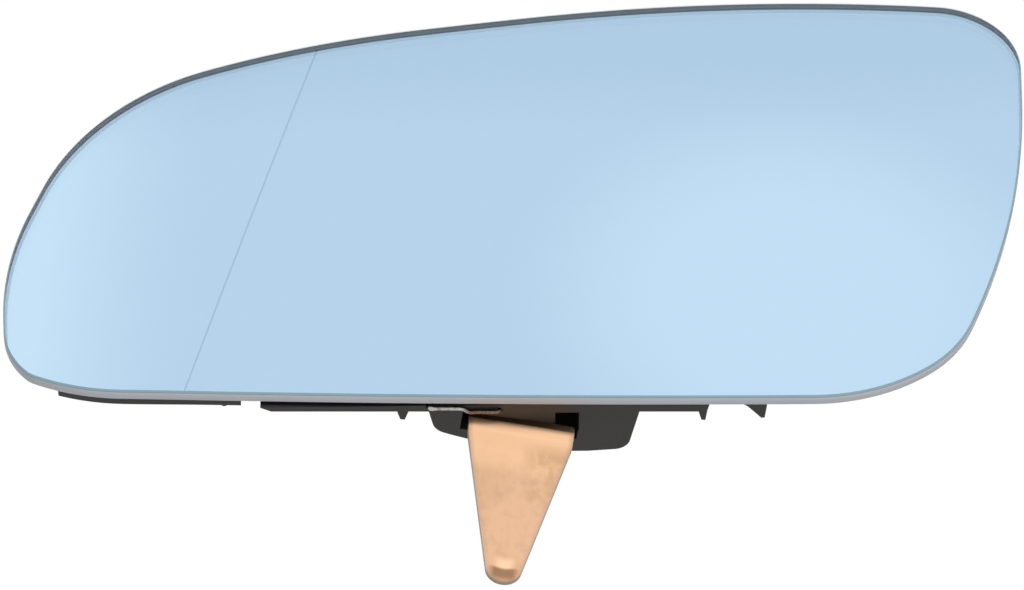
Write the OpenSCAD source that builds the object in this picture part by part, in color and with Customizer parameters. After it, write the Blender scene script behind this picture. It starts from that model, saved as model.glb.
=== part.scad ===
// Car door mirror glass: convex glass with an aspheric outboard zone, on its moulded backing
// plate with the adjuster socket, and the sheet-metal locking lever with its wire spring.
// Millimetres. The origin is the centre of the socket's mouth, +Z is up, the glass looks
// along -Y and its outboard end points to -X.

/* [Glass] */
// Width of the glass
glass_w = 185; // [165:1:205]
// Height of the glass
glass_h = 99; // [90:1:108]
// Thickness of the glass
glass_t = 2.4; // [1.8:0.1:3]
// Radius of the main convex face
glass_r = 1400; // [1100:50:2000]
// Radius of the aspheric zone across the dividing line
asphere_r = 600; // [400:50:900]
// Distance of the dividing line from the outboard end, at mid height
split_in = 45; // [35:1:60]
// Lean of the dividing line from upright
split_lean = 14.5; // [8:0.5:20]
// Distance of the glass centre outboard of the socket axis
glass_out = 2; // [0:0.5:6]

/* [Heater] */
// Thickness of the adhesive heater foil
foil_t = 0.4; // [0.3:0.1:0.8]
// Distance of the foil edge inside the glass edge
foil_inset = 6; // [5:0.5:12]
// Width of a connector blade
blade_w = 6.3; // [4.8:0.1:8]
// Thickness of a connector blade
blade_t = 0.8; // [0.5:0.1:1]
// Height of a connector blade above the foil
blade_h = 9; // [7:0.5:11]
// Distance of the two blades from the socket axis
blade_x = 44; // [38:1:52]
// Distance between the two blades
blade_pitch = 22; // [16:1:28]

/* [Backing plate] */
// Wall of the plate
plate_t = 2; // [1.6:0.1:3]
// Distance of the plate edge inside the glass edge
plate_inset = 2.4; // [2:0.1:4]
// Height of the ribs above the plate
rib_h = 2.4; // [1.5:0.1:4]
// Thickness of the ribs
rib_t = 1.6; // [1.2:0.1:2.4]
// Turn of the socket axis out of the glass axis
wedge = 7.5; // [5:0.5:8.5]
// Distance from the glass face to the socket mouth
stand_off = 16.8; // [16.4:0.2:18]

/* [Socket] */
// Radius of the socket bore
socket_r = 20.5; // [18:0.5:22]
// Wall of the socket ring
socket_wall = 3.5; // [2.5:0.5:4.5]
// Depth of the socket bore
socket_depth = 7.5; // [6.5:0.5:8]

/* [Lever housing] */
// Width of the housing where it leaves the plate
house_w = 38.6; // [36:0.2:44]
// Distance of the housing floor inside the lowest edge of the glass
house_in = 2; // [1.6:0.1:3]
// Radius of the housing's rear corners
house_r = 4; // [2:0.2:4.6]
// Radius of the housing's crowned rear face
crown_r = 70; // [55:5:120]
// Distance of the crown in front of the socket mouth
house_back = 0.35; // [0.2:0.05:1]
// Walls of the housing's pockets
house_wall = 2; // [1.4:0.1:2.6]
// Length of the shelf outboard of the housing
shelf_out = 29.3; // [24:0.5:34]
// Length of the shelf inboard of the housing
shelf_in = 10.7; // [6:0.5:16]

/* [Lever] */
// Width of the lever at its shoulder
lever_w = 19.1; // [16:0.1:19.4]
// Length of the blade below the shoulder
lever_l = 36.1; // [28:0.1:45]
// Radius of the blade's tip
lever_tip_r = 3.3; // [2.5:0.1:4]
// Thickness of the lever's sheet
lever_t = 1.2; // [0.8:0.1:1.4]
// Bend of the lever's tip out of the blade
tip_bend = 8; // [4:1:30]
// Inside radius of that bend
bend_r = 1; // [0.6:0.1:2]
// Step of the lever's sheet towards the rear, above its shoulder
lever_jog = 1.2; // [0.8:0.1:1.4]
// Distance of the lever's front face in front of the socket mouth
lever_in = 6.8; // [6.4:0.1:7.2]
// Distance of the pivot above the housing floor
pivot_up = 5.9; // [5.4:0.1:6.4]
// Distance of the pivot outboard of the socket axis
pivot_out = 2.2; // [1.6:0.1:2.6]
// Lean of the lever from upright, as it rests
lever_lean = 5; // [0:0.5:5]
// Radius of the rivet's shank
rivet_r = 1.5; // [1.2:0.1:2]

/* [Spring] */
// Diameter of the spring wire
wire_d = 0.7; // [0.5:0.1:1]

/* [Clearances] */
// Layer of glue between glass, foil and plate
glue = 0.05; // [0.02:0.01:0.1]
// Radial running clearance of the lever on its rivet
pivot_play = 0.08; // [0.05:0.01:0.1]
// Clearance behind the lever's sheet in the housing
lever_play = 0.9; // [0.5:0.1:1]
// Clearance in front of the sheet, at the inboard side
lever_front = 0.35; // [0.2:0.05:0.6]
// Clearance at the lever's inboard edge, where it rests
lever_side = 0.5; // [0.4:0.05:0.6]
// Clearance at its outboard edge, which the swing takes up
swing_room = 1.3; // [1.2:0.1:2]
// Clearance round the blades and the wire in the plate
hole_play = 0.3; // [0.2:0.1:0.5]

/* [Hidden] */
fine = 1440;
round_fn = 96;
reach = glass_w + glass_h;
face_y = -stand_off;
foil_front = glass_t + glue;
plate_front = foil_front + foil_t + glue;
plate_back = plate_front + plate_t;
half_w = glass_w / 2;
half_h = glass_h / 2;
glass_low = -half_h + 0.4;
house_low = half_h - house_in;
pivot_low = house_low - pivot_up;

// Corners of the glass outline from the glass centre, each with its radius
outline = [
  [[half_w + 0.85, half_h - 0.1], 15.3],
  [[half_w - 1.15, -3.55], 186],
  [[half_w - 15, -half_h + 12.7], 29.9],
  [[half_w - 29.8, -half_h + 1.6], 42.7],
  [[-8, -half_h - 1.1], 1226],
  [[-half_w + 13.9, -half_h + 3.65], 64.9],
  [[-half_w + 5.4, -half_h + 7.9], 8.2],
  [[-half_w + 0.75, -half_h + 13.05], 15.9],
  [[-half_w - 0.95, -14.6], 62],
  [[-half_w + 12.7, 24.45], 46.5],
  [[-39.3, half_h - 11.2], 230],
  [[39.5, half_h + 0.9], 450]
];

// Unit vector along v, and v turned a quarter turn to the left
function unit(v) = v / norm(v);
function left(v) = [-v[1], v[0]];
function wrap(i, n) = (i % n + n) % n;
// Where the line through p along a meets the line through q along b
function cross_of(a, b) = a[0] * b[1] - a[1] * b[0];
function meet(p, a, q, b) = p + a * (cross_of(q - p, b) / cross_of(a, b));

// Where the sides before and after corner i meet once both are moved inwards by d.
// The corners run clockwise, so inwards is to the right of each side.
function side_dir(c, i) = unit(c[wrap(i + 1, len(c))][0] - c[wrap(i, len(c))][0]);
function moved(c, i, d) =
  let (a = side_dir(c, i - 1), b = side_dir(c, i), p = c[i][0])
  meet(p - d * left(a), a, p - d * left(b), b);
function inset_corners(c, d) =
  [for (i = [0 : len(c) - 1]) [moved(c, i, d), max(c[i][1] - d, 1)]];

// Length of side that a corner's round takes up, and the radius that its sides leave room for
function half_turn(c, i) =
  let (a = side_dir(c, i - 1), b = side_dir(c, i)) acos(a * b) / 2;
function take(c, i) = c[wrap(i, len(c))][1] * tan(half_turn(c, wrap(i, len(c))));
function room(c, i) =
  norm(c[wrap(i + 1, len(c))][0] - c[wrap(i, len(c))][0]) / (take(c, i) + take(c, i + 1));
function fit_r(c, i) = c[i][1] * min(1, room(c, i - 1), room(c, i));

// Points of the outline: an arc of the corner's radius, tangent to both of its sides
function arc_points(c, i, step = 3) =
  let (a = side_dir(c, i - 1), b = side_dir(c, i), h = half_turn(c, i), r = fit_r(c, i),
       start = c[i][0] - r * tan(h) * a, centre = start - r * left(a),
       n = max(2, ceil(2 * h / step)), from = atan2(left(a)[1], left(a)[0]))
  [for (k = [0 : n]) centre + r * [cos(from - 2 * h * k / n), sin(from - 2 * h * k / n)]];
function rounded(c, step = 3) = [for (i = [0 : len(c) - 1]) each arc_points(c, i, step)];
function outline_points(d) = rounded(inset_corners(outline, d));

// Height of the outline's lower side, outboard of its lowest corner
function low_edge(x) =
  let (a = outline[4][0], b = outline[5][0]) a[1] + (a[0] - x - glass_out) / (a[0] - b[0]) * (b[1] - a[1]);

// A flat shape drawn in X and Z, as a prism along Y
module through() rotate([90, 0, 0]) linear_extrude(height = reach / 3, center = true) children();
module glass_shape(d) translate([-glass_out, 0]) polygon(outline_points(d));

// The layer between depths t0 and t1 behind the curved face: a sphere of glass_r, and outboard of
// the dividing line an arc of asphere_r, tangent to it, turned about the same axis
module layer(t0, t1) {
  split_d = (half_w - split_in) * cos(split_lean);
  split_a = asin(split_d / glass_r);
  translate([-glass_out, face_y + glass_r, 0])
  multmatrix([[0, sin(split_lean), -cos(split_lean), 0], [-1, 0, 0, 0],
              [0, cos(split_lean), sin(split_lean), 0], [0, 0, 0, 1]])
  rotate([0, 0, -4]) rotate_extrude(angle = 8, $fn = fine) rotate(split_a) {
    intersection() {
      band(glass_r, t0, t1);
      translate([glass_r - reach / 4, -reach * 0.7]) square([reach / 3, reach * 0.7]);
    }
    intersection() {
      translate([glass_r - asphere_r, 0]) band(asphere_r, t0, t1);
      translate([glass_r - reach / 4, 0]) square([reach / 3, reach * 0.4]);
    }
  }
}
module band(r, t0, t1) difference() {
  circle(r = r - t0, $fn = fine);
  circle(r = r - t1, $fn = fine);
}

// The frame of the socket: its own Y runs along the socket's axis
module on_socket() rotate([0, 0, wedge]) children();
module along_axis(y0, y1) translate([0, y0, 0]) rotate([-90, 0, 0])
  linear_extrude(height = y1 - y0) mirror([0, 1]) children();

module mirror_glass() color([0.69, 0.82, 0.91])
intersection() {
  layer(0, glass_t);
  through() glass_shape(0);
}

module heater_foil() color([0.75, 0.6, 0.35])
intersection() {
  layer(foil_front, foil_front + foil_t);
  through() glass_shape(foil_inset);
}

// Shelf along the lower edge, behind the glass: it carries the spring
shelf_x0 = -house_w / 2 - shelf_out + 0.6;
shelf_x1 = house_w / 2 + shelf_in - 0.6;
shelf_low = glass_low + 0.7;
shelf_back = face_y + 5.8;
// The rib ends, the hook and the pin that stand up along the lower edge
spike_x = -house_w / 2 - 3.6;
gusset_x = house_w / 2 + 21.1;
edge_pin_x = shelf_x0 - 6.5;

module rib_lines() {
  for (a = [20, 62, 118, 160, 200, 340])
    rotate(a) translate([socket_r + 1, -rib_t / 2]) square([reach, rib_t]);
  for (x = [spike_x, gusset_x])
    translate([x - rib_t / 2, -half_h]) square([rib_t, 30]);
}
module ribs() intersection() {
  layer(plate_back - 0.5, plate_back + rib_h);
  through() union() {
    intersection() {
      glass_shape(plate_inset + 1.6);
      rib_lines();
    }
    difference() {
      glass_shape(7);
      glass_shape(7 + rib_t);
    }
  }
}

// The plate, with a lip that comes closer to the glass edge outboard of the shelf
module plate_shape() {
  glass_shape(plate_inset);
  intersection() {
    glass_shape(1.2);
    translate([8.5 - half_w, -half_h]) square([shelf_x0 - 3.5 - 8.5 + half_w, 20]);
  }
}

// A flat form of points [x, distance behind the glass], from z0 up
module standing(z0, height, points) translate([0, face_y, z0]) linear_extrude(height = height) polygon(points);

module shelf() {
  front = plate_front + 0.95;
  standing(shelf_low, 4, [[shelf_x0, front + 0.95], [shelf_x0 + 1.9, shelf_back - face_y],
    [shelf_x1, shelf_back - face_y], [shelf_x1, front + 0.25], [0, front]]);
  // hook at its inboard end
  standing(shelf_low + 0.1, 2.6, [[shelf_x1 - 0.3, front + 0.3], [shelf_x1 - 0.3, 5.7], [shelf_x1 + 0.3, 8.1],
    [shelf_x1 + 1, 8.2], [shelf_x1 + 1.3, 5.6], [shelf_x1 + 1.6, front + 0.3]]);
  // pointed end of the outboard rib
  standing(shelf_low + 0.2, 3.4, [[spike_x - 1.1, 5.6], [spike_x - 0.9, 6.6], [spike_x - 0.5, 8.1],
    [spike_x + 0.3, 8.2], [spike_x + 0.8, 6.6], [spike_x + 1.1, 5.6]]);
  // slanted end of the inboard rib
  standing(-house_low - 0.1, 3.6, [[gusset_x - 4, plate_front + 1.4], [gusset_x - 2.6, 5.3],
    [gusset_x - 0.1, 8.4], [gusset_x + 0.5, 8.3], [gusset_x + 0.8, 5], [gusset_x + 0.8, plate_front + 1.4]]);
  // round pin outboard of the shelf
  translate([edge_pin_x, face_y + plate_back - 0.4, low_edge(edge_pin_x) + 2.1]) rotate([-90, 0, 0])
    cylinder(r = 0.6, h = 2.5, $fn = round_fn);
}

// The frame of the socket, for a point of [x, y]
function turned(p) = [p[0] * cos(wedge) - p[1] * sin(wedge), p[0] * sin(wedge) + p[1] * cos(wedge)];

// The housing seen along Z: side walls drawn in towards the rear, and a rear face whose crown
// stands square to the socket's axis
draft = 0.2;
house_front = plate_front + 0.3 - stand_off;
function house_corners(d) =
  let (half = house_w / 2 - d, turn = asin(house_w / 2 / crown_r),
       apex = turned([0, crown_r * (1 / cos(turn) - 1) - house_back - d]),
       lf = [-half + 0.2, house_front], rf = [half + 0.2, house_front],
       up_l = [draft, 1], up_r = [-draft, 1],
       to_l = turned([-cos(turn), -sin(turn)]), to_r = turned([cos(turn), -sin(turn)]))
  [[lf, 0.1], [meet(lf, up_l, apex, to_l), house_r - d], [apex, crown_r - d],
   [meet(rf, up_r, apex, to_r), house_r - d], [rf, 0.1]];
module housing_body() translate([0, 0, -house_low]) linear_extrude(height = house_low - socket_r)
  polygon(rounded(house_corners(0), 6));

// The lever's shoulder below the pivot, its neck, and the catch that reaches up to the socket
shoulder = 6.5;
neck_w = 9;
catch_w = 5;
catch_up = pivot_low - socket_r - 1.5;

// Room for the lever in the housing, and the deep corner beside its shoulder
rest_x = lever_w / 2 * cos(lever_lean) - pivot_up * sin(lever_lean);
slot_x0 = -pivot_out - lever_w * cos(lever_lean) + rest_x - swing_room;
slot_x1 = -pivot_out + rest_x + lever_side;
slot_h = pivot_up + neck_w / 2 + 1;
recess_w = 4.2;
module lever_room() {
  rear = -lever_in + lever_jog + lever_t + lever_play;
  on_socket() {
    translate([0, 0, -house_low - 1]) linear_extrude(height = slot_h + 1)
      polygon([[slot_x0, rear], [slot_x1, rear], [slot_x1, -lever_in - lever_front],
               [slot_x1 - recess_w, -lever_in - lever_front], [slot_x0, -lever_in - lever_front - 1.1]]);
    // passage of the catch into the socket
    translate([-pivot_out - 3.6, -lever_in + lever_jog - lever_play, -house_low + slot_h - 2])
      cube([10.8, lever_t + 2 * lever_play, house_low - socket_r - slot_h + 5]);
  }
  corner = turned([slot_x1, -lever_in]);
  translate([corner[0] - recess_w, corner[1] - 3.9, -house_low - 1]) cube([recess_w, 4.7, 5]);
}

// Pockets that keep the housing's walls even, open to the rear
module pockets() intersection() {
  half = house_w / 2 - house_wall;
  long = 2 * stand_off;
  translate([0, 0, -house_low - 1]) linear_extrude(height = house_low)
    polygon([[0.2 - half, house_front], [0.2 - half + draft * long, house_front + long],
             [0.2 + half - draft * long, house_front + long], [0.2 + half, house_front]]);
  on_socket() {
    translate([slot_x1 + house_wall + 0.5, -stand_off, -house_low + house_wall])
      cube([house_w, 2 * stand_off, house_low - socket_r - socket_wall - house_wall - 2]);
    translate([-pivot_out - 3.6 - house_wall - house_w, -stand_off, -house_low + slot_h + house_wall])
      cube([house_w, 2 * stand_off, house_low - socket_r - socket_wall - house_wall - slot_h]);
  }
  translate([0, 0, -house_low]) cube([house_w, 2 * stand_off + 4, reach], center = true);
}

wire_y = face_y + 4.5;
wire_z = shelf_low - wire_d / 2 - 0.05;
wire_x0 = -house_w / 2 + 1.1;
wire_x1 = wire_x0 + 12.3;
wire_leg_y = wire_y + 0.9;
wire_hole_r = wire_d / 2 + hole_play;

module backing_plate() color([0.2, 0.2, 0.2])
difference() {
  union() {
    intersection() {
      layer(plate_front, plate_back);
      through() plate_shape();
    }
    difference() {
      ribs();
      on_socket() along_axis(-socket_depth - 20, 1) circle(r = socket_r + 1, $fn = round_fn);
    }
    shelf();
    difference() {
      union() {
        difference() {
          housing_body();
          pockets();
        }
        on_socket() along_axis(1.2 - stand_off, 0) circle(r = socket_r + socket_wall, $fn = round_fn);
      }
      // nothing of the housing or the ring stands in front of the plate's middle
      layer(-20, plate_front + plate_t / 2);
    }
  }
  on_socket() along_axis(-socket_depth, 1) circle(r = socket_r, $fn = round_fn);
  lever_room();
  pivot_cut();
  for (s = [-1, 1]) blade_window(s);
  translate([wire_x0, wire_y, shelf_low - 1]) cylinder(r = wire_hole_r, h = 3.4, $fn = round_fn);
  translate([wire_x1, wire_leg_y, -house_low - 1]) cylinder(r = wire_hole_r, h = 9, $fn = round_fn);
}

module at_pivot() on_socket() translate([-pivot_out, 0, -pivot_low]) rotate([-90, 0, 0]) children();
head_r = 2 * rivet_r;
head_t = 1;
head_y = -house_back - head_t - 0.15;
rivet_end = -lever_in - 3.2;
module pivot_cut() at_pivot() {
  translate([0, 0, rivet_end]) cylinder(r = rivet_r + 0.02, h = head_y - rivet_end + 0.1, $fn = round_fn);
  translate([0, 0, head_y]) cylinder(r = head_r + hole_play, h = head_t + 2, $fn = round_fn);
}
module lever_rivet() color([0.7, 0.7, 0.7])
at_pivot() {
  translate([0, 0, rivet_end]) cylinder(r = rivet_r, h = head_y - rivet_end + head_t / 2, $fn = round_fn);
  translate([0, 0, head_y]) cylinder(r = head_r, h = head_t, $fn = round_fn);
}

// The lever's sheet in its own plane: X across, Y down the blade from the pivot
module lever_sheet() difference() {
  union() {
    polygon([[-lever_w / 2, shoulder - 2.6], [lever_w / 2, shoulder - 2.6], [lever_w / 2, shoulder],
             [lever_w / 2 - 0.1, shoulder + 3.5], [lever_tip_r, blade_end], [-lever_tip_r, blade_end],
             [-lever_w / 2, shoulder]]);
    translate([0, blade_end]) circle(r = lever_tip_r, $fn = round_fn);
    translate([-neck_w / 2, 0]) square([neck_w, shoulder + 1]);
    circle(r = neck_w / 2, $fn = round_fn);
    translate([-catch_w / 2, -catch_up + catch_w / 2]) square([catch_w, catch_up]);
    translate([0, -catch_up + catch_w / 2]) circle(r = catch_w / 2, $fn = round_fn);
  }
  circle(r = rivet_r + pivot_play, $fn = round_fn);
}
blade_end = shoulder + lever_l - lever_tip_r;

// The sheet seen from its edge, as [distance to the rear, distance down]: stepped back above the
// shoulder, flat, then bent back at the tip
function bend_arc(r, a) = [lever_t + bend_r - r * cos(a), blade_end - 0.1 + r * sin(a)];
module lever_side() {
  turns = [0 : 2 : tip_bend];
  away = lever_w * [sin(tip_bend), cos(tip_bend)];
  lift = lever_t * tan(22.5);
  polygon(concat([[lever_jog, -reach], [lever_jog, shoulder - lever_jog], [0, shoulder]],
    [for (a = turns) bend_arc(lever_t + bend_r, a)],
    [bend_arc(lever_t + bend_r, tip_bend), bend_arc(lever_t + bend_r, tip_bend) + away,
     bend_arc(bend_r, tip_bend) + away, bend_arc(bend_r, tip_bend)],
    [for (a = turns) bend_arc(bend_r, tip_bend - a)],
    [[lever_t, shoulder + lift], [lever_t + lever_jog, shoulder - lever_jog + lift], [lever_t + lever_jog, -reach]]));
}

module lock_lever() color([0.93, 0.74, 0.6])
on_socket() translate([-pivot_out, -lever_in, -pivot_low]) rotate([0, lever_lean, 0]) intersection() {
  translate([0, -1, 0]) rotate([-90, 0, 0]) linear_extrude(height = lever_l) lever_sheet();
  multmatrix([[0, 0, -1, 0], [1, 0, 0, 0], [0, -1, 0, 0], [0, 0, 0, 1]])
    linear_extrude(height = 2 * lever_w, center = true) lever_side();
}

// Points with each inner corner replaced by a short curve of n + 1 points
function eased(p, r, n = 4) = [
  p[0],
  for (i = [1 : len(p) - 2])
    let (a = unit(p[i - 1] - p[i]) * min(r, norm(p[i - 1] - p[i]) / 2.2),
         b = unit(p[i + 1] - p[i]) * min(r, norm(p[i + 1] - p[i]) / 2.2))
    for (k = [0 : n]) let (t = k / n) p[i] + (1 - t) * (1 - t) * a + t * t * b,
  p[len(p) - 1]
];
// Ring frames carried along the path without twist, as [direction, side] pairs
function tangent(p, i) = unit(p[min(i + 1, len(p) - 1)] - p[max(i - 1, 0)]);
function carried(p, i = 0, side = [0, 1, 0]) =
  let (t = tangent(p, i), s = unit(side - (side * t) * t))
  i == len(p) - 1 ? [[t, s]] : concat([[t, s]], carried(p, i + 1, s));
module wire(p, r, sides = 10) {
  f = carried(p);
  n = len(p);
  pts = [for (i = [0 : n - 1]) for (k = [0 : sides - 1])
    p[i] + r * (cos(360 * k / sides) * f[i][1] + sin(360 * k / sides) * cross(f[i][0], f[i][1]))];
  polyhedron(points = pts, faces = concat(
    [for (i = [0 : n - 2]) for (k = [0 : sides - 1]) let (m = (k + 1) % sides)
      [i * sides + k, i * sides + m, (i + 1) * sides + m, (i + 1) * sides + k]],
    [[for (k = [sides - 1 : -1 : 0]) k], [for (k = [0 : sides - 1]) (n - 1) * sides + k]]));
}

module lever_spring() color([0.85, 0.85, 0.87])
wire(eased([
  [wire_x0, wire_y, shelf_low + 1.8],
  [wire_x0, wire_y, wire_z],
  [wire_x0 + 5.8, wire_y, wire_z],
  [wire_x0 + 7, wire_leg_y + 0.2, wire_z],
  [wire_x0 + 8, wire_leg_y, wire_z],
  [wire_x1, wire_leg_y, wire_z],
  [wire_x1, wire_leg_y, wire_z + 8]
], 0.7), wire_d / 2);

// Window in the plate for a blade, and the blade: a foot on the foil and an upright tab
window_w = blade_w + 3;
window_h = 6;
module at_blade(s) translate([blade_x, 0, 6 + s * blade_pitch / 2]) children();
module blade_window(s) at_blade(s)
  translate([-window_w / 2, face_y + foil_front, -window_h / 2]) cube([window_w, 12, window_h]);
function face_drop(x, z) = ((x + glass_out) * (x + glass_out) + z * z) / (2 * glass_r);
module blade(s) {
  foot_y = face_y + foil_front + foil_t + 0.1 + face_drop(blade_x + blade_w / 2, 6 + s * blade_pitch / 2 + window_h / 2);
  at_blade(s) translate([0, foot_y, 0]) {
    translate([-blade_w / 2, 0, -2.4]) cube([blade_w, 0.5, 4.8]);
    difference() {
      translate([-blade_w / 2, 0, -blade_t / 2]) cube([blade_w, blade_h, blade_t]);
      translate([0, blade_h - 2.6, 0]) cylinder(r = 0.8, h = 4, center = true, $fn = round_fn);
      for (m = [0, 1]) mirror([m, 0, 0]) translate([blade_w / 2, blade_h - 1, 0]) rotate([0, 0, 45])
        cube([1.6, 3, 4], center = true);
    }
  }
}
module blade_upper() color([0.8, 0.78, 0.7]) blade(1);
module blade_lower() color([0.8, 0.78, 0.7]) blade(-1);

mirror_glass();
heater_foil();
backing_plate();
lock_lever();
lever_rivet();
lever_spring();
blade_upper();
blade_lower();
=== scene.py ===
import math

import bmesh
import bpy
import numpy as np
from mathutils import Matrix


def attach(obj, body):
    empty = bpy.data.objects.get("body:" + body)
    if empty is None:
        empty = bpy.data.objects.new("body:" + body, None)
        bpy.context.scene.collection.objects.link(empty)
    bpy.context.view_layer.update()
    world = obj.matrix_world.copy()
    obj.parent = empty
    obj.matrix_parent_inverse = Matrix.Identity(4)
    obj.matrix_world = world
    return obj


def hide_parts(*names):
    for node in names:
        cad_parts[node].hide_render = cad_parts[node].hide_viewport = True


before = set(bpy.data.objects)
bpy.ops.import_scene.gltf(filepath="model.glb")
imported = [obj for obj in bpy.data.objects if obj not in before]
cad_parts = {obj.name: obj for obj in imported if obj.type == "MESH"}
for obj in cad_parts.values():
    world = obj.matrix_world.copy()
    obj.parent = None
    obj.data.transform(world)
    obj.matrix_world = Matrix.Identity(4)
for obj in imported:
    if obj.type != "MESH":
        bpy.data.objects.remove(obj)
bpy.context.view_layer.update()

# Looks of a car door mirror glass: blue second-surface mirror, moulded backing plate, copper-plated
# lever, spring wire. Shapes are worked out in millimetres and become metres when a mesh is made.

mm = 0.001
weldWithin = 2e-6  # metres


# Surfaces, worked out as whole arrays of points

def smooth(v):
    # 0 below 0, 1 above 1, 3v^2 - 2v^3 between
    v = np.clip(v, 0, 1)
    return v * v * (3 - 2 * v)


def gridFaces(rows, columns):
    # Quad (i, j) joins the points (i, j), (i, j + 1), (i + 1, j + 1), (i + 1, j).
    # The rows are rings, so j + 1 comes round to 0.
    i = np.arange(rows - 1)[:, None]
    j = np.arange(columns)[None, :]
    k = (j + 1) % columns
    quads = np.stack([i * columns + j, i * columns + k, (i + 1) * columns + k, (i + 1) * columns + j], -1)
    return quads.reshape(-1, 4)


def outlineCurve(corners, radii, count):
    # An arc of its own radius stands in for each corner, tangent to both sides. It uses up
    # radius * tan(turn / 2) of each side, less where the sides are short, and the rest is straight.
    # The corners run clockwise, points come at equal steps, normals point out. The tiny terms keep
    # zero out of the signs and divisors.
    p = np.array(corners, float)
    r = np.array(radii, float)
    side = np.roll(p, -1, 0) - p
    length = np.hypot(side[:, 0], side[:, 1])
    side = side / length[:, None]
    before = np.roll(side, 1, 0)
    half = np.arccos(np.clip((before * side).sum(1), -1, 1)) / 2
    way = -np.sign(before[:, 0] * side[:, 1] - before[:, 1] * side[:, 0] - 1e-12)
    take = r * np.tan(half)
    room = length / np.maximum(take + np.roll(take, -1), 1e-9)
    r = r * np.minimum(1, np.minimum(room, np.roll(room, 1)))
    take = r * np.tan(half)
    leftOf = np.stack([-before[:, 1], before[:, 0]], 1)
    start = p - before * take[:, None]
    end = p + side * take[:, None]
    centre = start - (way * r)[:, None] * leftOf
    straight = np.roll(start, -1, 0) - end
    steps = np.stack([2 * half * r, np.hypot(straight[:, 0], straight[:, 1])], 1).ravel()
    marks = np.concatenate([[0], np.cumsum(steps)])
    s = np.arange(count) / count * marks[-1]
    part = np.clip(np.searchsorted(marks, s, "right") - 1, 0, len(steps) - 1)
    k, local = part // 2, s - marks[part]
    turn = np.arctan2(way[k] * leftOf[k, 1], way[k] * leftOf[k, 0]) - way[k] * local / np.maximum(r[k], 1e-9)
    ray = np.stack([np.cos(turn), np.sin(turn)], 1)
    onArc = (part % 2 == 0)[:, None]
    points = np.where(onArc, centre[k] + r[k, None] * ray, end[k] + local[:, None] * side[k])
    normals = np.where(onArc, way[k, None] * ray, np.stack([-side[k, 1], side[k, 0]], 1))
    return points, normals


def plateRows(points, normals, rim, target, fractions):
    # Rings of a flat plate, from its front face over its rim to its back face:
    # on the rim outline - inset * normal, on the faces target + fraction * (edge of the face - target)
    inset, depth = np.array(rim, float).T
    edge = points[None] - inset[:, None, None] * normals[None]
    f = fractions[:, None, None]
    flat = np.concatenate([target + f * (edge[:1] - target), edge, target + f[::-1] * (edge[-1:] - target)])
    deep = np.concatenate([np.full(len(f), depth[0]), depth, np.full(len(f), depth[-1])])
    return flat, deep


def easedPath(corners, radius, perCorner=8, shortShare=1 / 2.2):
    # Each inner corner c becomes c + (1 - t)^2 * a + t^2 * b, where a and b reach back and
    # forward along its sides by the radius, or by a little under half of a short side
    c = np.array(corners, float)
    sides = c[:-2] - c[1:-1], c[2:] - c[1:-1]
    back, ahead = [v * np.minimum(radius / np.linalg.norm(v, axis=1), shortShare)[:, None] for v in sides]
    t = np.linspace(0, 1, perCorner)[None, :, None]
    eased = c[1:-1, None] + (1 - t) ** 2 * back[:, None] + t ** 2 * ahead[:, None]
    return np.concatenate([c[:1], eased.reshape(-1, 3), c[-1:]])


def evenly(path, count):
    # The same path with points at equal steps of its length
    run = np.concatenate([[0], np.cumsum(np.linalg.norm(np.diff(path, axis=0), axis=1))])
    s = np.linspace(0, run[-1], count)
    return np.stack([np.interp(s, run, path[:, axis]) for axis in range(3)], 1)


def tubeRows(path, radii, sides, across):
    # P(i, k) = path_i + radius_i * (cos a_k * side_i + sin a_k * tangent_i x side_i),
    # side_i = the given across direction less its part along the tangent
    tangent = np.gradient(path, axis=0)
    tangent /= np.linalg.norm(tangent, axis=1)[:, None]
    side = np.array(across, float) - (tangent @ np.array(across, float))[:, None] * tangent
    side /= np.linalg.norm(side, axis=1)[:, None]
    up = np.cross(tangent, side)
    a = np.arange(sides) / sides * 2 * math.pi
    spoke = np.cos(a)[None, :, None] * side[:, None] + np.sin(a)[None, :, None] * up[:, None]
    return path[:, None] + np.asarray(radii, float)[:, None, None] * spoke


def addPiece(name, rows, materials, slots=None, sharp=35):
    # rows is a grid of points, rings along its second axis; rings that meet in a point are merged
    count, ring = rows.shape[:2]
    faces = gridFaces(count, ring)
    mesh = bpy.data.meshes.new(name)
    mesh.from_pydata((rows.reshape(-1, 3) * mm).tolist(), [], faces.tolist())
    for material in materials:
        mesh.materials.append(material)
    if slots is not None:
        mesh.polygons.foreach_set("material_index", np.repeat(np.array(slots, np.int32), ring))
    work = bmesh.new()
    work.from_mesh(mesh)
    bmesh.ops.remove_doubles(work, verts=work.verts, dist=weldWithin)
    bmesh.ops.recalc_face_normals(work, faces=work.faces)
    work.to_mesh(mesh)
    work.free()
    mesh.shade_smooth()
    mesh.set_sharp_from_angle(angle=math.radians(sharp))
    piece = bpy.data.objects.new(name, mesh)
    bpy.context.scene.collection.objects.link(piece)
    print("piece", name, len(mesh.polygons), "faces")
    return piece


def onSocket(points, wedge):
    # (x cos a - y sin a, x sin a + y cos a, z): turned about Z by the angle between glass and socket
    a = math.radians(wedge)
    x, y, z = points[..., 0], points[..., 1], points[..., 2]
    return np.stack([x * math.cos(a) - y * math.sin(a), x * math.sin(a) + y * math.cos(a), z], -1)


# Parts that the materials share

def rgb(r, g, b):
    # A screen colour of 0 to 255 as the shader's own linear value
    c = np.array([r, g, b]) / 255
    c = np.where(c <= 0.04045, c / 12.92, ((c + 0.055) / 1.055) ** 2.4)
    return (float(c[0]), float(c[1]), float(c[2]), 1.0)


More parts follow.
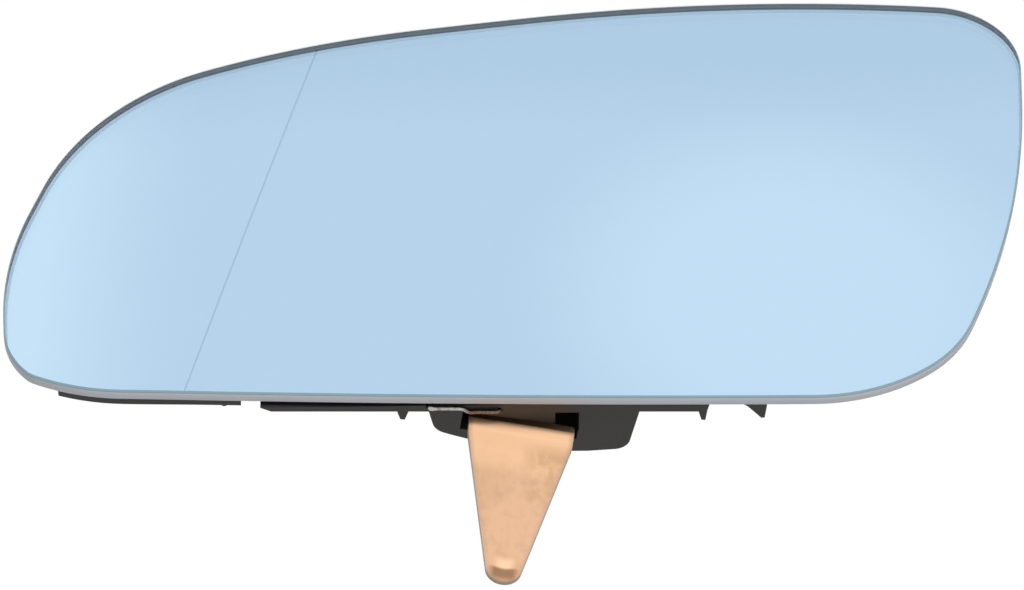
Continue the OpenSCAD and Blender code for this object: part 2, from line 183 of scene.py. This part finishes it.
def place(tree, kind, inputs=None, **settings):
    # One node; an input is either the socket that feeds it or its fixed value
    node = tree.nodes.new("ShaderNode" + kind)
    for name, value in settings.items():
        setattr(node, name, value)
    for key, value in (inputs or {}).items():
        if isinstance(value, bpy.types.NodeSocket):
            tree.links.new(value, node.inputs[key])
        else:
            node.inputs[key].default_value = value
    return node


def mixed(tree, factor, first, second):
    # (1 - factor) * first + factor * second
    node = place(tree, "Mix", {0: factor, 6: first, 7: second}, data_type="RGBA")
    return node.outputs[2]


def reckoned(tree, operation, *values, **settings):
    # One step of arithmetic on single values
    return place(tree, "Math", dict(enumerate(values)), operation=operation, **settings).outputs[0]


def product(tree, *factors):
    # factor 1 * factor 2 * ...
    result = factors[0]
    for factor in factors[1:]:
        result = reckoned(tree, "MULTIPLY", result, factor)
    return result


def readAlong(tree, point, way):
    # x * way_x + y * way_y + z * way_z
    return place(tree, "VectorMath", {0: point, 1: way}, operation="DOT_PRODUCT").outputs["Value"]


def spanned(tree, value, low, high, first=0.0, last=1.0, curve="LINEAR"):
    # From first to last while the value goes from low to high, in a line or along 3v^2 - 2v^3
    inputs = {0: value, 1: low, 2: high, 3: first, 4: last}
    return place(tree, "MapRange", inputs, interpolation_type=curve).outputs[0]


def ramp(tree, value, low, high, first, last):
    # The same with low and high in millimetres
    return spanned(tree, value, low * mm, high * mm, first, last)


def newGroup(name, inputs, outputs):
    # An empty group of single values, with its inside ends of the inputs and of the outputs
    group = bpy.data.node_groups.new(name, "ShaderNodeTree")
    for label, value in inputs.items():
        group.interface.new_socket(label, in_out="INPUT", socket_type="NodeSocketFloat").default_value = value
    for label in outputs:
        group.interface.new_socket(label, in_out="OUTPUT", socket_type="NodeSocketFloat")
    return group, group.nodes.new("NodeGroupInput").outputs, group.nodes.new("NodeGroupOutput").inputs


def useGroup(tree, group, **values):
    # One use of a group with its own values
    node = tree.nodes.new("ShaderNodeGroup")
    node.node_tree = group
    for label, value in values.items():
        node.inputs[label].default_value = value
    return node.outputs


def newMaterial(name, **values):
    # A material with its tree and the inputs of its shader; Base_Color stands for the input Base Color
    material = bpy.data.materials.new(name)
    material.use_nodes = True
    shader = material.node_tree.nodes["Principled BSDF"]
    for label, value in values.items():
        shader.inputs[label.replace("_", " ")].default_value = value
    return material, material.node_tree, shader.inputs


def objectPoint(tree):
    # The place on the piece, in metres
    return place(tree, "TexCoord").outputs["Object"]


def bumped(tree, shaderInputs, height, strength, deep):
    # Bump that stands for a relief of the given depth in millimetres
    node = place(tree, "Bump", {"Strength": strength, "Distance": deep * mm, "Height": height})
    tree.links.new(node.outputs[0], shaderInputs["Normal"])


def roughened(tree, shaderInputs, mask, least, most):
    # Roughness from least where the mask is 0 to most where it is 1
    tree.links.new(spanned(tree, mask, 0.0, 1.0, least, most), shaderInputs["Roughness"])


# Fine grain of a moulded, ground or rolled surface: noise at one scale
grain, gIn, gOut = newGroup("fineGrain", {"Scale": 900.0, "Detail": 3.0}, ["Height"])
noise = place(grain, "TexNoise", {"Vector": objectPoint(grain), "Scale": gIn["Scale"],
                                  "Detail": gIn["Detail"]})
grain.links.new(noise.outputs[0], gOut["Height"])

# Blotches with soft edges: noise between two levels becomes 0 to 1
blotchInputs = {"Scale": 60.0, "Low": 0.45, "High": 0.65, "Stretch": 1.0}
blotches, gIn, gOut = newGroup("blotches", blotchInputs, ["Mask"])
longWay = place(blotches, "CombineXYZ", {0: 1.0, 1: 1.0, 2: gIn["Stretch"]}).outputs[0]
spread = place(blotches, "VectorMath", {0: objectPoint(blotches), 1: longWay}, operation="MULTIPLY")
noise = place(blotches, "TexNoise", {"Vector": spread.outputs[0], "Scale": gIn["Scale"],
                                     "Detail": 4.0, "Roughness": 0.6})
blotches.links.new(spanned(blotches, noise.outputs[0], gIn["Low"], gIn["High"]), gOut["Mask"])

# Fine dust that settles on what faces up, thinned by noise
dust, gIn, gOut = newGroup("settledDust", {"Amount": 0.3, "Scale": 160.0}, ["Mask"])
upward = place(dust, "SeparateXYZ", {0: place(dust, "NewGeometry").outputs["Normal"]})
facing = spanned(dust, upward.outputs[2], 0.1, 1.0)
noise = place(dust, "TexNoise", {"Vector": objectPoint(dust), "Scale": gIn["Scale"], "Detail": 5.0})
thin = spanned(dust, noise.outputs[0], 0.4, 0.75)
dust.links.new(product(dust, facing, thin, gIn["Amount"]), gOut["Mask"])


# The glass: millimetres, degrees and colours
glass = {
    "corners": [(93.35, 49.4), (91.35, -3.55), (77.5, -36.8), (62.7, -47.9), (-8, -50.6), (-78.6, -45.85),
                (-87.1, -41.6), (-91.75, -36.45), (-93.45, -14.6), (-79.8, 24.45), (-39.3, 38.3),
                (39.5, 50.4)],
    "radii": [15.3, 186, 29.9, 42.7, 1226, 64.9, 8.2, 15.9, 62, 46.5, 230, 450],
    "outboard": 2.0, "faceY": -16.8, "thick": 2.4,
    "mainRadius": 1400.0, "outerRadius": 600.0, "splitAt": 47.5, "splitLean": 14.5,
    "seam": 0.32, "seamRound": 0.03, "seamEase": 0.08, "lightTo": 1.0, "samples": 480, "rings": 28,
    "lineHalf": (0.06, 0.24), "beat": 0.4, "dots": (-0.6, -0.1), "speckle": (0.1, 0.1),
    "paintInset": 0.5, "paintDeep": (0.006, 0.03),
    "coat": rgb(198, 227, 248), "line": rgb(152, 186, 208), "body": (0.985, 0.995, 1.0, 1.0),
    # Seen from inside the glass the edge is painted: light and glowing at the front, darker at the back
    "ground": rgb(180, 182, 188), "paintedLightInside": rgb(255, 250, 246), "paintedShadeInside": rgb(166, 174, 180),
    "paintedGlow": 0.42, "seamed": rgb(112, 131, 139), "paint": rgb(52, 54, 57),
}


def faceY(x, z, depth):
    # l runs across the dividing line and w along it. The distance from the axis of the surface is
    # sqrt(R^2 - l^2) inboard of the line; outboard (R - r) cos a + sqrt(r^2 - (l - (R - r) sin a)^2),
    # with sin a = split / R. Then y = faceY + R - sqrt(distance^2 - w^2), R and r less the depth.
    lean = math.radians(glass["splitLean"])
    big, small, split = glass["mainRadius"], glass["outerRadius"], glass["splitAt"] * math.cos(lean)
    shift, a = big - small, math.asin(split / big)
    u = x + glass["outboard"]
    l = z * math.sin(lean) - u * math.cos(lean)
    w = z * math.cos(lean) + u * math.sin(lean)
    inner = np.sqrt((big - depth) ** 2 - l ** 2)
    outer = shift * math.cos(a) + np.sqrt((small - depth) ** 2 - (l - shift * math.sin(a)) ** 2)
    away = np.where(l > split, outer, inner)
    return glass["faceY"] + big - np.sqrt(away ** 2 - w ** 2)


def glassRows(rim):
    # The outline's rings laid on the curved face: x and z from the flat plate, y from the face at each depth
    points, normals = outlineCurve(glass["corners"], glass["radii"], glass["samples"])
    points = points - [glass["outboard"], 0]
    centre = np.array([[-glass["outboard"], 0.0]])
    flat, deep = plateRows(points, normals, rim, centre, np.linspace(0, 1, glass["rings"])[:-1])
    x, z = flat[..., 0], flat[..., 1]
    return np.stack([x, faceY(x, z, deep[:, None]), z], -1)


clearGlass, tree, shader = newMaterial("clearGlass", Base_Color=glass["body"], Roughness=0.0, IOR=1.52,
                                       Transmission_Weight=1.0)

# The dividing line is a fine dotted line in the coat: dots come with the sine of the way along it
mirrorCoat, tree, shader = newMaterial("blueMirrorCoat", Metallic=1.0, Roughness=0.015)
lean = math.radians(glass["splitLean"])
toAxis = (glass["outboard"] * mm, 0, 0)
shifted = place(tree, "VectorMath", {0: objectPoint(tree), 1: toAxis}, operation="ADD").outputs[0]
across = readAlong(tree, shifted, (-math.cos(lean), 0, math.sin(lean)))
off = reckoned(tree, "SUBTRACT", across, glass["splitAt"] * math.cos(lean) * mm)
off = reckoned(tree, "ABSOLUTE", off)
along = readAlong(tree, shifted, (math.sin(lean), 0, math.cos(lean)))
wave = reckoned(tree, "SINE", reckoned(tree, "MULTIPLY", along, 2 * math.pi / (glass["beat"] * mm)))
line = product(tree, ramp(tree, off, *glass["lineHalf"], 1.0, 0.0), spanned(tree, wave, *glass["dots"]))
tree.links.new(mixed(tree, line, glass["coat"], glass["line"]), shader["Base Color"])


def groundMaterial(name, outsideColour, paintedInsideColour, paintedGlow=0.0):
    # One colour from outside and a painted tone from inside, standing for how the edge is lit when seen
    # through the glass. From inside it also glows by the given amount, a painted light in place of light that
    # comes through the frosted edge.
    material, tree, shader = newMaterial(name, Roughness=0.6, Emission_Strength=1.0)
    inside = place(tree, "NewGeometry").outputs["Backfacing"]
    speck = useGroup(tree, grain, Scale=2600.0, Detail=2.0)
    tree.links.new(mixed(tree, inside, outsideColour, paintedInsideColour), shader["Base Color"])
    tree.links.new(mixed(tree, inside, (0, 0, 0, 1), (paintedGlow, paintedGlow, paintedGlow, 1)), shader["Emission Color"])
    bumped(tree, shader, speck["Height"], *glass["speckle"])
    return material


# Painted light: the front seam and the front of the edge wall are light and glow from inside. Painted shade:
# the back of the wall is darker from inside.
groundFront = groundMaterial("groundEdgeFront", glass["ground"], glass["paintedLightInside"], glass["paintedGlow"])
groundBack = groundMaterial("groundEdgeBack", glass["ground"], glass["paintedShadeInside"])
seamGlass = groundMaterial("seamedEdge", glass["seamed"], glass["paintedLightInside"], glass["paintedGlow"])
backPaint, tree, shader = newMaterial("backPaint", Base_Color=glass["paint"], Roughness=0.5)

# The edge wall from front to back: seam, wall whose inside is painted light, wall whose inside is painted
# darker, seam
seam, thick, bend, ease = glass["seam"], glass["thick"], glass["seamRound"], glass["seamEase"]
rim = [(seam, 0), (bend, seam - bend), (0.0, seam + ease), (0.0, glass["lightTo"]),
       (0.0, thick - seam - ease), (bend, thick - seam + bend), (seam, thick)]
faceRings = glass["rings"] - 1
glassMaterials = [clearGlass, seamGlass, groundFront, groundBack, mirrorCoat]
slots = [0] * faceRings + [1, 1, 2, 3, 3, 3] + [4] * faceRings
mirrorGlass = addPiece("mirrorGlass", glassRows(rim), glassMaterials, slots, sharp=25)
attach(mirrorGlass, "mirror")
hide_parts("mirror_glass")

# The backing paint behind the coat: a skin a hair off the glass
paintRim = [(glass["paintInset"], thick + deep) for deep in glass["paintDeep"]]
paintSheet = addPiece("mirrorPaint", glassRows(paintRim), [backPaint])
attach(paintSheet, "mirror")


# The lever: down and across are measured from the rivet
lever = {
    "width": 18.9, "upper": 3.9, "shoulder": 6.5, "taperDown": (10, 42.5), "taperHalf": (9.35, 2.64),
    "tipRadius": 3.2, "thick": 1.2, "edge": 0.26,
    "samples": 760, "rings": 15, "coppered": 3, "cutBand": 6,
    "inFront": 6.8, "pivotLow": 41.6, "pivotOut": 2.2, "lean": 5.6, "wedge": 7.5,
    "catch": 5.0, "catchUp": 19.6, "neck": 9.0, "jog": 1.2, "tipBend": 4.0, "bendAt": 39.3,
    "dimpleAt": 39.1, "dimpleHalf": (2.2, 2.9), "dimpleDepth": 0.45,
    "drawnGrain": (0.12, 0.05),
    # Own tones of the plating and the cut steel, with the painted highlights, painted shade and painted
    # shadow that the list below lays on
    "copper": rgb(196, 157, 124), "worn": rgb(172, 134, 98), "stain": rgb(136, 102, 72),
    "paintedHighlight": rgb(255, 206, 163), "paintedTipHighlight": rgb(255, 214, 178), "tarnish": rgb(160, 124, 84),
    "paintedTipShade": rgb(132, 98, 70), "paintedShoulderShadow": rgb(84, 58, 38), "bareAndPaintedEdgeShade": rgb(168, 140, 122), "cut": rgb(164, 148, 134),
    # Tones in the order they are laid on: painted highlights, tarnish, painted shade and a painted shadow;
    # for each, what is read, from where to where in millimetres, strength at the ends
    "wear": [
        # Painted highlights: a light band below the shoulder and a lighter line at its top edge
        ("paintedHighlight", [("down", 9.5, 19, 0.85, 0.0)]),
        ("paintedHighlight", [("down", 9.0, 9.6, 1.0, 0.0)]),
        ("tarnish", [("across", 0.5, 3.5, 0.0, 0.42), ("down", 10, 13, 0.0, 1.0),
                     ("down", 22, 30, 1.0, 0.0)]),
        # Painted highlight: a light spot over the upper half of the dimple at the tip
        ("paintedTipHighlight", [("middle", 0.9, 2.1, 0.35, 0.0), ("down", 36.9, 38, 0.0, 1.0),
                       ("down", 39.2, 39.7, 1.0, 0.0)]),
        # Painted shade: the lower half of the dimple and the end of the tip are darker
        ("paintedTipShade", [("middle", 1.6, 3.0, 0.95, 0.0), ("down", 39.2, 39.8, 0.0, 1.0),
                   ("down", 41.2, 42.6, 1.0, 0.4)]),
        # Painted shadow: the sheet is dark brown from the shoulder up, where it goes in under the housing
        ("paintedShoulderShadow", [("down", 6.2, 7.5, 0.85, 0.0)]),
        # Painted shade: the lever is darker towards its long edges
        ("bareAndPaintedEdgeShade", [("toEdge", 0.2, 1.0, 0.5, 0.0)]),
    ],
}


def leverRows():
    # The lever's outline is flat in (across, down the blade). Seen from its edge the front face runs along
    # back(down), the sum of tan b: -45 degrees where the sheet steps forward, b of the bend at the tip.
    # The thickness stands along (cos b, -sin b) of (back, down). The dimple at the tip goes back by
    # depth * (1 - rr)^2, rr = (across / half width)^2 + (down from its middle / half height)^2, where rr < 1.
    w, s0, s1 = lever["width"] / 2, lever["upper"], lever["shoulder"]
    (s2, end), (wide, narrow) = lever["taperDown"], lever["taperHalf"]
    neck, hook, top = lever["neck"] / 2, lever["catch"] / 2, lever["catchUp"]
    half = [(hook, top, hook), (hook, 4.2, 0.8), (neck, 3.2, 1.5), (neck, -s0, 0.3), (w, -s0, 0.6),
            (w, -s1, 1.0), (wide, -s2, 6), (narrow, -end, lever["tipRadius"])]
    right = [(x, y) for x, y, r in half]
    radii = [r for x, y, r in half]
    corners = [(0, top)] + right + [(0, -end)] + [(-x, y) for x, y in right[::-1]]
    points, normals = outlineCurve(corners, [1] + radii + [1] + radii[::-1], lever["samples"])
    c, t = lever["edge"], lever["thick"]
    flatFrom = c + 0.05
    a = np.radians([0, 22, 45, 68, 90])
    front = np.stack([c - c * np.sin(a), c - c * np.cos(a)], 1)
    rear = np.stack([front[::-1, 0], t - front[::-1, 1]], 1)
    rim = np.concatenate([[(flatFrom, 0)], front, rear, [(flatFrom, t)]])
    inset = points - flatFrom * normals
    spine = np.stack([np.zeros(len(points)), inset[:, 1]], 1)[None]
    flat, deep = plateRows(points, normals, rim, spine, np.linspace(0, 1, lever["rings"])[:-1])
    across, down = flat[..., 0], -flat[..., 1]
    s = np.linspace(-top - 1, end + 2, 1800)
    step = s[1] - s[0]
    jog = smooth((s - s1 + lever["jog"] + 0.2) / 0.4) - smooth((s - s1 + 0.25) / 0.5)
    b = np.radians(lever["tipBend"]) * smooth((s - lever["bendAt"] + 0.45) / 0.9) - math.radians(45) * jog
    forward = np.cumsum(np.tan(np.minimum(b, 0)) * step)
    back = lever["jog"] * (1 - forward / forward[-1]) + np.cumsum(np.tan(np.maximum(b, 0)) * step)
    angle = np.interp(down, s, b)
    t = deep[:, None]
    halfAcross, halfDown = lever["dimpleHalf"]
    rr = (across / halfAcross) ** 2 + ((down - lever["dimpleAt"]) / halfDown) ** 2
    dimple = lever["dimpleDepth"] * np.clip(1 - rr, 0, 1) ** 2
    y = np.interp(down, s, back) + t * np.cos(angle) + dimple - lever["inFront"]
    z = -(down - t * np.sin(angle))
    q = math.radians(lever["lean"])
    x = across * math.cos(q) + z * math.sin(q) - lever["pivotOut"]
    z = -across * math.sin(q) + z * math.cos(q) - lever["pivotLow"]
    return onSocket(np.stack([x, y, z], -1), lever["wedge"])


def leverReading(tree, which):
    # With x' = x cos w + y sin w: down = -((x' + out) sin q + (z + low) cos q),
    # across = (x' + out) cos q - (z + low) sin q
    q, w = math.radians(lever["lean"]), math.radians(lever["wedge"])
    ofX, ofZ = {"down": (-math.sin(q), -math.cos(q)), "across": (math.cos(q), -math.sin(q))}[which]
    turned = readAlong(tree, objectPoint(tree), (ofX * math.cos(w), ofX * math.sin(w), ofZ))
    return reckoned(tree, "ADD", turned, (ofX * lever["pivotOut"] + ofZ * lever["pivotLow"]) * mm)


copperPlate, tree, shader = newMaterial("copperPlate", Metallic=0.4, IOR=1.5)
broad = useGroup(tree, blotches, Scale=95.0, Low=0.46, High=0.68, Stretch=0.55)["Mask"]
fine = useGroup(tree, blotches, Scale=420.0, Low=0.5, High=0.72, Stretch=0.8)["Mask"]
drawn = useGroup(tree, blotches, Scale=1500.0, Low=0.35, High=0.7, Stretch=0.06)["Mask"]
tone = mixed(tree, product(tree, broad, 0.42), lever["copper"], lever["worn"])
tone = mixed(tree, product(tree, fine, 0.22), tone, lever["stain"])
# Readings on the sheet: middle is the way from its middle line, toEdge the way to its long edge, which is
# the half width that narrows down the blade, less middle. Tarnish is spotted too.
down, across = leverReading(tree, "down"), leverReading(tree, "across")
middle = reckoned(tree, "ABSOLUTE", across)
halfWidth = ramp(tree, down, *lever["taperDown"], *[half * mm for half in lever["taperHalf"]])
toEdge = reckoned(tree, "SUBTRACT", halfWidth, middle)
readings = {"down": down, "across": across, "middle": middle, "toEdge": toEdge}
spotted = useGroup(tree, blotches, Scale=230.0, Low=0.44, High=0.6, Stretch=0.7)["Mask"]
for colour, zones in lever["wear"]:
    strengths = [ramp(tree, readings[reading], *limits) for reading, *limits in zones]
    strengths = [spotted] + strengths if colour == "tarnish" else strengths
    tone = mixed(tree, product(tree, *strengths), tone, lever[colour])
tree.links.new(tone, shader["Base Color"])
roughened(tree, shader, drawn, 0.34, 0.46)
bumped(tree, shader, drawn, *lever["drawnGrain"])

cutSteel, tree, shader = newMaterial("cutSteel", Base_Color=lever["cut"], Metallic=0.4, Roughness=0.5)

# Copper goes on over the rounded front edge, and the band behind it is cut steel
rows = leverRows()
frontRings, cutRings = lever["rings"] - 1 + lever["coppered"], lever["cutBand"]
slots = [0] * frontRings + [1] * cutRings + [0] * (len(rows) - 1 - frontRings - cutRings)
lockLever = addPiece("lockLever", rows, [copperPlate, cutSteel], slots, sharp=50)
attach(lockLever, "lever")
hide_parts("lock_lever")


# The spring: bends of the wire in the frame's own directions
spring = {
    "wire": 0.7, "bend": 0.7, "steps": 220, "sides": 20, "endSteps": 3.0,
    "thickerAt": 2.1, "thickerOver": 0.6, "thickerBy": 0.45,
    "x0": -18.2, "x1": -5.9, "backY": -12.3, "lowZ": -48.8, "legY": -11.4, "shelfZ": -48.4,
    "bright": rgb(206, 206, 200), "dull": rgb(140, 136, 128), "paintedHousingShade": rgb(118, 90, 74),
}
x0, x1, y0, z0, legY = spring["x0"], spring["x1"], spring["backY"], spring["lowZ"], spring["legY"]
bends = [(x0, y0, spring["shelfZ"] + 1.8), (x0, y0, z0), (x0 + 5.8, y0, z0), (x0 + 7, legY + 0.2, z0),
         (x0 + 8, legY, z0), (x1, legY, z0), (x1, legY, z0 + 8)]

springSteel, tree, shader = newMaterial("springWire", Metallic=1.0)
dullness = useGroup(tree, blotches, Scale=900.0, Low=0.45, High=0.7, Stretch=1.0)["Mask"]
# Painted shade: from x = -12.2 mm on, where the wire runs into the housing, it is darker and brown
inHousing = ramp(tree, place(tree, "SeparateXYZ", {0: objectPoint(tree)}).outputs[0], -12.2, -11.2, 0.0, 0.85)
tone = mixed(tree, dullness, spring["bright"], spring["dull"])
tree.links.new(mixed(tree, inHousing, tone, spring["paintedHousingShade"]), shader["Base Color"])
roughened(tree, shader, dullness, 0.22, 0.4)

# radius = wire / 2 * sqrt(1 - (1 - e)^2) * (1 + by * exp(-((reach - at) / over)^2)), with e from 0 to 1
# over the last steps at each end and reach measured along the wire as seen from the front
path = evenly(easedPath(bends, spring["bend"]), spring["steps"])
order = np.arange(spring["steps"])
ends = np.minimum(order, order[::-1]) / spring["endSteps"]
radii = spring["wire"] / 2 * np.sqrt(np.clip(1 - (1 - np.clip(ends, 0, 1)) ** 2, 1e-6, 1))
reach = np.cumsum(np.hypot(*np.diff(path, axis=0, prepend=path[:1])[:, [0, 2]].T))
thicker = np.exp(-((reach - spring["thickerAt"]) / spring["thickerOver"]) ** 2)
rows = tubeRows(path, radii * (1 + spring["thickerBy"] * thicker), spring["sides"], (0.25, 1.0, 0.35))
springWire = addPiece("leverSpring", rows, [springSteel], sharp=60)
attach(springWire, "mirror")
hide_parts("lever_spring")

# The rivet, turned about its own axis
rivet = {
    "shank": 1.5, "head": 3.0, "headThick": 0.95, "crown": 0.6, "chamfer": 0.15, "bevel": 0.1, "point": 0.01,
    "frontY": -10.0, "backY": -0.9, "spokes": 48, "zinc": rgb(205, 207, 208), "patina": rgb(150, 152, 150),
}
zincSteel, tree, shader = newMaterial("rivetZinc", Metallic=1.0)
cloud = useGroup(tree, blotches, Scale=700.0, Low=0.4, High=0.7, Stretch=1.0)["Mask"]
tree.links.new(mixed(tree, cloud, rivet["zinc"], rivet["patina"]), shader["Base Color"])
roughened(tree, shader, cloud, 0.32, 0.5)

# Its profile as (radius, station): a shank, then a head whose crown is (head * cos(d)^0.45, crown * sin(d))
dome = np.radians(np.linspace(0, 90, 12))
shank, head, bevel, point = rivet["shank"], rivet["head"], rivet["bevel"], rivet["point"]
front, under = rivet["frontY"], rivet["backY"] - rivet["headThick"]
turned = np.concatenate([[point, shank - rivet["chamfer"], shank, shank, head - bevel, head],
                         head * np.cos(dome[:-1]) ** 0.45, [point]])
stations = np.concatenate([[front, front, front + rivet["chamfer"], under, under, under + bevel],
                           rivet["backY"] - rivet["crown"] + rivet["crown"] * np.sin(dome)])
spokes = np.arange(rivet["spokes"]) / rivet["spokes"] * 2 * math.pi
rows = np.stack([
    turned[:, None] * np.cos(spokes) - lever["pivotOut"],
    np.broadcast_to(stations[:, None], (len(stations), len(spokes))),
    turned[:, None] * np.sin(spokes) - lever["pivotLow"]], -1)
leverRivet = addPiece("leverRivet", onSocket(rows, lever["wedge"]), [zincSteel], sharp=45)
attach(leverRivet, "mirror")
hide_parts("lever_rivet")


# Moulded plate, foil and blades are the frame's own solids with new finishes
plate = {
    "black": rgb(44, 42, 40), "scuffed": rgb(70, 69, 67), "dusty": rgb(128, 125, 120), "grain": (0.3, 0.12),
}
blackPlastic, tree, shader = newMaterial("blackPlastic", Specular_IOR_Level=0.42)
scuff = useGroup(tree, blotches, Scale=130.0, Low=0.52, High=0.75, Stretch=1.0)["Mask"]
settled = useGroup(tree, dust, Amount=0.22, Scale=260.0)["Mask"]
tone = mixed(tree, product(tree, scuff, 0.25), plate["black"], plate["scuffed"])
tree.links.new(mixed(tree, settled, tone, plate["dusty"]), shader["Base Color"])
roughened(tree, shader, scuff, 0.42, 0.6)
bumped(tree, shader, useGroup(tree, grain, Scale=1700.0, Detail=3.0)["Height"], *plate["grain"])

foil = {"film": rgb(176, 150, 96), "track": rgb(120, 112, 100), "tracks": 60.0, "wander": 0.6}
heaterFilm, tree, shader = newMaterial("heaterFilm", Roughness=0.45)
waves = {"Vector": objectPoint(tree), "Scale": foil["tracks"], "Distortion": foil["wander"]}
tracks = place(tree, "TexWave", waves, bands_direction="Z")
inTrack = spanned(tree, tracks.outputs[1], 0.45, 0.55)
tree.links.new(mixed(tree, inTrack, foil["film"], foil["track"]), shader["Base Color"])

blades = {"tin": rgb(214, 208, 190), "brass": rgb(196, 170, 112)}
tinnedBrass, tree, shader = newMaterial("tinnedBrass", Metallic=1.0)
# Bare brass where the tin is worn off
bareAndPaintedEdgeShade = useGroup(tree, blotches, Scale=500.0, Low=0.55, High=0.75, Stretch=0.5)["Mask"]
tree.links.new(mixed(tree, bareAndPaintedEdgeShade, blades["tin"], blades["brass"]), shader["Base Color"])
roughened(tree, shader, bareAndPaintedEdgeShade, 0.28, 0.45)

finishes = {"backing_plate": blackPlastic, "heater_foil": heaterFilm,
            "blade_upper": tinnedBrass, "blade_lower": tinnedBrass}
for node, material in finishes.items():
    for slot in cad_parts[node].material_slots:
        slot.material = material
print("finishes placed")


# The studio, in metres; pixels is the focal length on a picture so many pixels wide
studio = {
    "floorLow": -2.7, "floorHalf": 9.0, "floor": rgb(236, 236, 236),
    "tilt": 42.0, "distance": 1.0, "pixels": 5620.0, "wide": 1024, "sensor": 36, "clip": (0.05, 40),
    "aim": (-3.7 * mm, -16.8 * mm, -26 * mm), "patch": (0.103, -0.761, 0.641), "white": (1, 1, 1, 1),
    "shade": (0.748, 0.785, 0.833, 1.0), "low": (0.74, 0.74, 0.75, 1.0), "fadeFrom": 2.5, "fadeTo": 8.6,
}
# Each as low, high, first, last of a soft step
room = {
    "higher": (0.70, 0.74, 0.69, 0.97), "patch": (0.9942, 1.0, 0.0, 0.53),
    "beside": (-0.286, -0.12, 1.09, 0.0), "below": (0.1, 0.6, 1.0, 0.0), "fill": (0.3, 0.9, 1.0, 0.2),
}
# Each as its place, what it looks at, its width and its power, in metres and watts
lamps = {
    "keyLamp": ((-1.1, -1.0, 0.9), (0, 0, -0.02), 0.8, 9),
    "sideLamp": ((1.3, -0.7, -0.2), (0, 0, -0.02), 0.8, 1.0),
    "frontLamp": ((0.3, -1.3, -0.16), (0, 0, -0.06), 0.5, 21.5),
    "backLamp": ((0.5, 1.4, 0.9), (0, 0, -0.02), 0.9, 9),
}

h, low = studio["floorHalf"], studio["floorLow"]
floorMesh = bpy.data.meshes.new("floor")
floorMesh.from_pydata([(-h, -h, low), (h, -h, low), (h, h, low), (-h, h, low)], [], [(0, 1, 2, 3)])
floorMaterial, tree, shader = newMaterial("paleFloor", Base_Color=studio["floor"], Roughness=0.9)
# The floor fades out with its distance from the middle, so that no horizon shows
away = place(tree, "VectorMath", {0: objectPoint(tree), 1: (1, 1, 0)}, operation="MULTIPLY").outputs[0]
away = place(tree, "VectorMath", {0: away}, operation="LENGTH").outputs["Value"]
fade = spanned(tree, away, studio["fadeFrom"], studio["fadeTo"], 1.0, 0.0, curve="SMOOTHSTEP")
tree.links.new(fade, shader["Alpha"])
floorMesh.materials.append(floorMaterial)
floor = bpy.data.objects.new("floor", floorMesh)
bpy.context.scene.collection.objects.link(floor)

# The world is white behind the object. What shows in the mirror and the metal is a pale room, mixed from
# white to the shade by: 0.69 + 0.28 higher up - 0.53 in one patch in front - 1.09 towards -X. It turns to
# the low colour downwards. All else is lit by a white fill that is less strong from the sides.
world = bpy.data.worlds.new("paleRoom")
bpy.context.scene.world = world
world.use_nodes = True
tree = world.node_tree
ray = place(tree, "LightPath").outputs
aim = place(tree, "TexCoord").outputs["Generated"]
parts = place(tree, "SeparateXYZ", {0: aim}).outputs
values = {"higher": parts["Z"], "patch": readAlong(tree, aim, studio["patch"]), "beside": parts["X"],
          "below": parts["Z"], "fill": reckoned(tree, "ABSOLUTE", parts["X"])}
steps = {name: spanned(tree, value, *room[name], curve="SMOOTHSTEP") for name, value in values.items()}
shade = reckoned(tree, "SUBTRACT", steps["higher"], steps["patch"])
shade = reckoned(tree, "SUBTRACT", shade, steps["beside"], use_clamp=True)
seen = mixed(tree, shade, studio["white"], studio["shade"])
seen = mixed(tree, steps["below"], seen, studio["low"])
shiny = reckoned(tree, "MAXIMUM", ray["Is Glossy Ray"], ray["Is Transmission Ray"])
lit = mixed(tree, shiny, steps["fill"], seen)
background = tree.nodes["Background"].inputs
tree.links.new(mixed(tree, ray["Is Camera Ray"], lit, studio["white"]), background["Color"])
background["Strength"].default_value = 1.0

# A lamp shines down its own -Z: it tips by the angle from straight down and turns to face its target
for name, (spot, target, size, power) in lamps.items():
    data = bpy.data.lights.new(name, "AREA")
    data.shape, data.size, data.energy = "DISK", size, power
    lamp = bpy.data.objects.new(name, data)
    lamp.visible_glossy = lamp.visible_transmission = False
    bpy.context.scene.collection.objects.link(lamp)
    lamp.location = spot
    x, y, z = np.array(target, float) - np.array(spot, float)
    lamp.rotation_euler = (math.atan2(math.hypot(x, y), -z), 0, math.atan2(y, x) - math.pi / 2)
print("studio placed:", len(lamps), "lamps")

tilt = math.radians(studio["tilt"])
cameraData = bpy.data.cameras.new("camera")
cameraData.sensor_width = studio["sensor"]
cameraData.lens = studio["pixels"] / studio["wide"] * studio["sensor"]
cameraData.clip_start, cameraData.clip_end = studio["clip"]
camera = bpy.data.objects.new("camera", cameraData)
bpy.context.scene.collection.objects.link(camera)
aimX, aimY, aimZ = studio["aim"]
ahead, below = studio["distance"] * math.cos(tilt), studio["distance"] * math.sin(tilt)
camera.location = (aimX, aimY - ahead, aimZ - below)
camera.rotation_euler = (math.pi / 2 + tilt, 0, 0)
bpy.context.scene.camera = camera
bpy.context.scene.view_settings.view_transform = "Standard"
